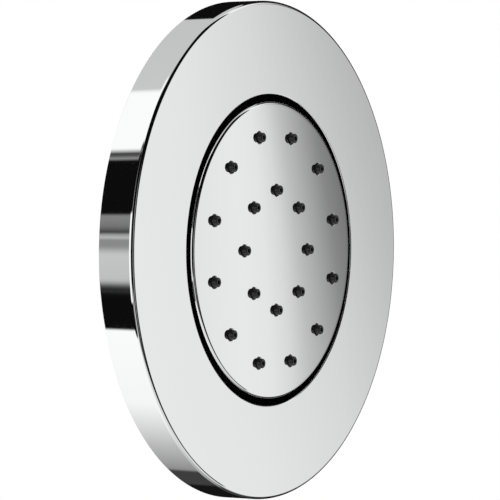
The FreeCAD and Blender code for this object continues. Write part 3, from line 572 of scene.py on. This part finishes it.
# Inlet body
# One turned brass piece through the cup's floor. In front it has a long fine thread round the ball's
# socket; behind its hexagon comes the half-inch pipe thread that the supply screws on.
PIPE_CREST = 10.48 * MM
PIPE_DEPTH = 1.16 * MM
PIPE_PITCH = 1.814 * MM
PIPE_START = 38.6 * MM
PIPE_END = 53.4 * MM
CUP_THREAD_CREST = 14.0 * MM
CUP_THREAD_DEPTH = 0.9 * MM
CUP_THREAD_PITCH = 1.5 * MM
CUP_THREAD_START = 8.0 * MM
CUP_THREAD_END = 23.6 * MM
ABOVE_CREST = 0.12 * MM
FLANK_SLOPE = math.tan(math.radians(28.0))
ROOT_SHARE = 0.06
THREAD_STEPS = 72


def merged_copy(node, name):
    """A copy of a node's mesh under a new name, with its loose triangles joined."""
    piece = bpy.data.objects.new(name, nodes[node].data.copy())
    bpy.context.collection.objects.link(piece)
    piece.data.name = name
    bpy.ops.object.select_all(action="DESELECT")
    bpy.context.view_layer.objects.active = piece
    piece.select_set(True)
    bpy.ops.mesh.customdata_custom_splitnormals_clear()
    bpy.ops.object.mode_set(mode="EDIT")
    bpy.ops.mesh.select_mode(type="VERT")
    bpy.ops.mesh.select_all(action="SELECT")
    bpy.ops.mesh.remove_doubles(threshold=SAME_PLACE)
    bpy.ops.object.mode_set(mode="OBJECT")
    return piece


def thread_groove(crest, depth, pitch, start, end):
    """A V-shaped tool that winds round the axis, to be cut out of a plain cylinder."""
    half = depth * FLANK_SLOPE + pitch * ROOT_SHARE
    rise = ABOVE_CREST * FLANK_SLOPE
    tool = drawn("groove", [
        (crest - depth, start - pitch * ROOT_SHARE),
        (crest + ABOVE_CREST, start - half - rise),
        (crest + ABOVE_CREST, start + half + rise),
        (crest - depth, start + pitch * ROOT_SHARE),
    ])
    bpy.ops.object.mode_set(mode="OBJECT")
    winding = tool.modifiers.new("winding", "SCREW")
    winding.axis = "Y"
    winding.screw_offset = pitch
    winding.iterations = math.ceil((end - start) / pitch)
    winding.steps = THREAD_STEPS
    winding.render_steps = THREAD_STEPS
    bpy.ops.object.modifier_apply(modifier=winding.name)
    bpy.ops.object.mode_set(mode="EDIT")
    bpy.ops.mesh.select_all(action="SELECT")
    bpy.ops.mesh.fill_holes(sides=4)
    bpy.ops.mesh.select_all(action="SELECT")
    bpy.ops.mesh.normals_make_consistent(inside=False)
    bpy.ops.object.mode_set(mode="OBJECT")
    return tool


inlet = merged_copy("inlet_body", "threaded_inlet")
cut(inlet, thread_groove(PIPE_CREST, PIPE_DEPTH, PIPE_PITCH, PIPE_START, PIPE_END))
cut(inlet, thread_groove(
    CUP_THREAD_CREST, CUP_THREAD_DEPTH, CUP_THREAD_PITCH, CUP_THREAD_START, CUP_THREAD_END,
))
shade(inlet)
fit(inlet, brass, "wall_set", "brass", "inlet_body")


# Wall cup and head housing
# Black glass-filled mouldings with a fine spark-eroded skin: the cup that sinks into the wall with
# its flange on the tiles, and the back half of the spray head.
moulding, look = new_material("black_moulding")
flow = look.noise(38.0, 4.0)
skin = look.noise(4200.0, 2.0)
look.surface(
    Base_Color=look.tint(flow, (0.025, 0.025, 0.027, 1), (0.038, 0.038, 0.040, 1)),
    Roughness=0.42 + skin * 0.14 + flow * 0.06,
    Normal=look.bump(skin, 0.00003, 0.6),
)
for name in ("wall_cup", "head_housing"):
    dress(nodes[name], moulding)


# Wall gasket
# A ring of grey closed-cell foam in the flange's back, which seals the flange on the tiles.
foam, look = new_material("closed_cell_foam")
cells = look.number("TexVoronoi", {"feature": "F1"}, {"Vector": look.place(), "Scale": 1500.0})
look.surface(
    Base_Color=look.tint(cells, (0.09, 0.09, 0.095, 1), (0.15, 0.15, 0.155, 1)),
    Roughness=0.85,
    Normal=look.bump(cells, 0.00012, 0.7),
)
dress(nodes["wall_gasket"], foam)


# Studio
# Cards and softboxes that the chrome mirrors. Behind the jet they stand round its axis, and the rim
# shows them one after the other. In front on the right stands the softbox that the face shows.
BRIGHTEST = 1.25
CHROME_SHARE = 0.80
DEGREES = 180.0 / math.pi
world = bpy.data.worlds.new("studio")
bpy.context.scene.world = world
world.cycles.sampling_method = "NONE"
look = Shading(world)
directions = look.tree.nodes.new("ShaderNodeSeparateXYZ")
feed(directions.inputs[0], look.node("TexCoord", output="Generated"))
east, inward, up = (Value(port) for port in directions.outputs)
round_axis = up.math("ARCTAN2", up, east * -1) * DEGREES
heading = up.math("ARCTAN2", inward, east) * DEGREES
height = up.math("ARCSINE", up) * DEGREES


def light(tone):
    """Share of the brightest card that shows in the chrome as this tone, from 0 to 255."""
    share = tone / 255.0
    linear = share / 12.92 if share < 0.04045 else ((share + 0.055) / 1.055) ** 2.4
    return linear / CHROME_SHARE / BRIGHTEST


def cards(angle, stops):
    """A row of cards, each stop an angle in degrees and the tone of the cards there."""
    low, high = stops[0][0], stops[-1][0]
    ramp = [((at - low) / (high - low), light(tone)) for at, tone in stops]
    return look.number("ValToRGB", {"stops": ramp}, {"Fac": (angle - low) / (high - low)})


def mix(first, second, share):
    return first + (second - first) * share


def near(angle, at, half, fade):
    """1 up to half a width from an angle, with a soft edge beyond it."""
    return 1 - abs(angle - at).rises(half, half + fade)


# Behind the jet: cards round its axis, which the rim shows. In front: the pale room.
behind = cards(round_axis, [
    (-180, 16), (-141, 20), (-139, 60), (-124, 60), (-122, 140), (-102, 185), (-75, 244),
    (-36.7, 250), (-36.1, 12), (-20.2, 12), (-19.2, 42), (-16.8, 42), (-13.5, 190), (-2, 196),
    (0, 172), (1.5, 138), (5, 136), (6.6, 215), (7.4, 30), (8.4, 66), (11, 116), (15.6, 132), (16.3, 12),
    (42.5, 12), (43.2, 235), (44, 56), (46.0, 56), (46.8, 250), (78, 250), (79, 198),
    (134, 190), (135, 12),
])
room = mix(light(214), light(240), height.rises(-60.0, 5.0))
studio = mix(room, behind, inward.rises(-0.45, -0.25))

# A window on the left, level with the rim, which draws the bright line round its edge
side_window = near(round_axis, -3.0, 18.0, 1.5) * (1 - inward.rises(0.30, 0.42))
studio = mix(studio, light(250), side_window)

# A black flag across the front, which draws the dark line inside that one
low_edge = height.rises(-40.0, -28.0)
high_edge = 1 - height.rises(60.0, 75.0)
flag = near(heading, -96.5, 57.5, 2.0) * low_edge * high_edge
studio = mix(studio, light(8), flag)

# The softbox on the right front, brighter on its left, which the face and the disc show
slanted = heading + height * (0.3 + (heading + 30.0) * 0.035)
gradient = cards(slanted, [
    (-42, 222), (-35, 231), (-33, 227), (-31.5, 214), (-30.5, 197), (-30, 188), (-28.5, 168),
    (-26.5, 135), (-24.5, 115), (-20, 60), (-12, 12),
])
softbox = near(heading, -30.0, 16.0, 2.0) * near(height, 0.0, 15.0, 5.0)
studio = mix(studio, gradient, softbox)

# Two small lights straight in front and low on the left, for the face seen from there
near_light = near(heading, -90.0, 4.0, 5.0) * near(height, -3.0, 5.0, 19.0)
studio = mix(studio, light(165), near_light)
low_light = near(heading, -135.0, 7.0, 7.0) * near(height, -26.0, 8.0, 7.0)
studio = mix(studio, light(200), low_light)

# Plain surfaces are lit at one soft level, and what lies behind the jet is white.
SOFT_LIGHT = 0.62
rays = look.tree.nodes.new("ShaderNodeLightPath").outputs
shown = mix(studio * BRIGHTEST, SOFT_LIGHT, Value(rays["Is Diffuse Ray"]))
shown = mix(shown, 1.0, Value(rays["Is Camera Ray"]))
background = look.node("Background", inputs={"Color": shown, "Strength": 1.0})
look.node("OutputWorld", inputs={"Surface": background})

# Two wide soft lamps that shape the plastics and the floor. The chrome doesn't mirror them.
LEFT_LAMP = ((-1.2, -1.0, 1.5), 1.4, 26.0)
RIGHT_LAMP = ((1.4, 0.9, 1.1), 1.2, 14.0)
for place, size, power in (LEFT_LAMP, RIGHT_LAMP):
    bpy.ops.object.light_add(type="AREA", location=place)
    lamp = bpy.context.object
    lamp.data.size = size
    lamp.data.energy = power
    lamp.rotation_mode = "QUATERNION"
    lamp.rotation_quaternion = (-Vector(place)).to_track_quat("-Z", "Y")
    lamp.visible_glossy = False

# A pale floor well below the jet, which fades into the white studio.
FLOOR_DROP = 0.6
FLOOR_RADIUS = 2.6
FLOOR_STEPS = 96
FADE_START = 0.35
FADE_END = 1.0
bpy.ops.object.select_all(action="DESELECT")
bpy.ops.mesh.primitive_circle_add(
    vertices=FLOOR_STEPS, radius=FLOOR_RADIUS, fill_type="NGON", location=(0, 0, -FLOOR_DROP),
)
floor = bpy.context.object
floor.name = "floor"
bpy.ops.object.transform_apply(location=True)
paper, look = new_material("pale_floor")
matt = look.node("BsdfPrincipled", inputs={
    "Base Color": (0.9, 0.9, 0.9, 1),
    "Roughness": 0.85 + look.noise(20.0) * 0.05,
})
lit = look.node("Emission", inputs={"Color": (1, 1, 1, 1), "Strength": 1.0})
away = look.number("VectorMath", {"operation": "LENGTH"}, {0: look.place()}, output="Value")
seen = look.number("LightPath", output="Is Camera Ray")
faded = away.rises(math.hypot(FADE_START, FLOOR_DROP), math.hypot(FADE_END, FLOOR_DROP))
whitened = look.node("MixShader", inputs={0: seen * (0.5 + faded * 0.5), 1: matt, 2: lit})
look.node("OutputMaterial", inputs={"Surface": whitened})
dress(floor, paper)
floor.visible_glossy = False

# A mounted jet's cup is out of sight in the wall. A small white card for that wall stands flush with
# the rim's back on the left and covers the cup from the front left. It has a front and no back, so
# that the rim shows from behind.
WALL_GAP = 0.3 * MM
WALL_REACH = 92.0 * MM
WALL_HALF_HEIGHT = 46.0 * MM
bpy.ops.object.select_all(action="DESELECT")
bpy.ops.mesh.primitive_circle_add(
    vertices=TURNING_STEPS, radius=COVER_RADIUS - WALL_GAP, rotation=(math.pi / 2, 0, 0),
)
wall = bpy.context.object
wall.name = "wall_card"
bpy.ops.object.transform_apply(rotation=True)
bpy.ops.object.mode_set(mode="EDIT")
bpy.ops.mesh.select_all(action="SELECT")
bpy.ops.mesh.extrude_edges_move()
spread = WALL_REACH / COVER_RADIUS
bpy.ops.transform.resize(value=(spread, 1, spread), center_override=(0, 0, 0))
bpy.ops.mesh.select_all(action="SELECT")
bpy.ops.mesh.bisect(plane_co=(0, 0, 0), plane_no=(1, 0, 0), clear_outer=True)
for side in (1, -1):
    bpy.ops.mesh.select_all(action="SELECT")
    bpy.ops.mesh.bisect(plane_co=(0, 0, side * WALL_HALF_HEIGHT), plane_no=(0, 0, side), clear_outer=True)
bpy.ops.mesh.select_all(action="SELECT")
bpy.ops.mesh.normals_make_consistent(inside=False)
bpy.ops.object.mode_set(mode="OBJECT")
if wall.data.polygons[0].normal.y > 0:
    wall.data.flip_normals()
white_card, look = new_material("white_card")
lit = look.node("Emission", inputs={"Color": (1, 1, 1, 1), "Strength": 1.0})
clear = look.node("BsdfTransparent")
behind_card = look.node("NewGeometry", output="Backfacing")
one_sided = look.node("MixShader", inputs={0: behind_card, 1: lit, 2: clear})
look.node("OutputMaterial", inputs={"Surface": one_sided})
dress(wall, white_card)
wall.visible_diffuse = False
wall.visible_glossy = False
wall.visible_shadow = False

bpy.context.scene.view_settings.view_transform = "Standard"
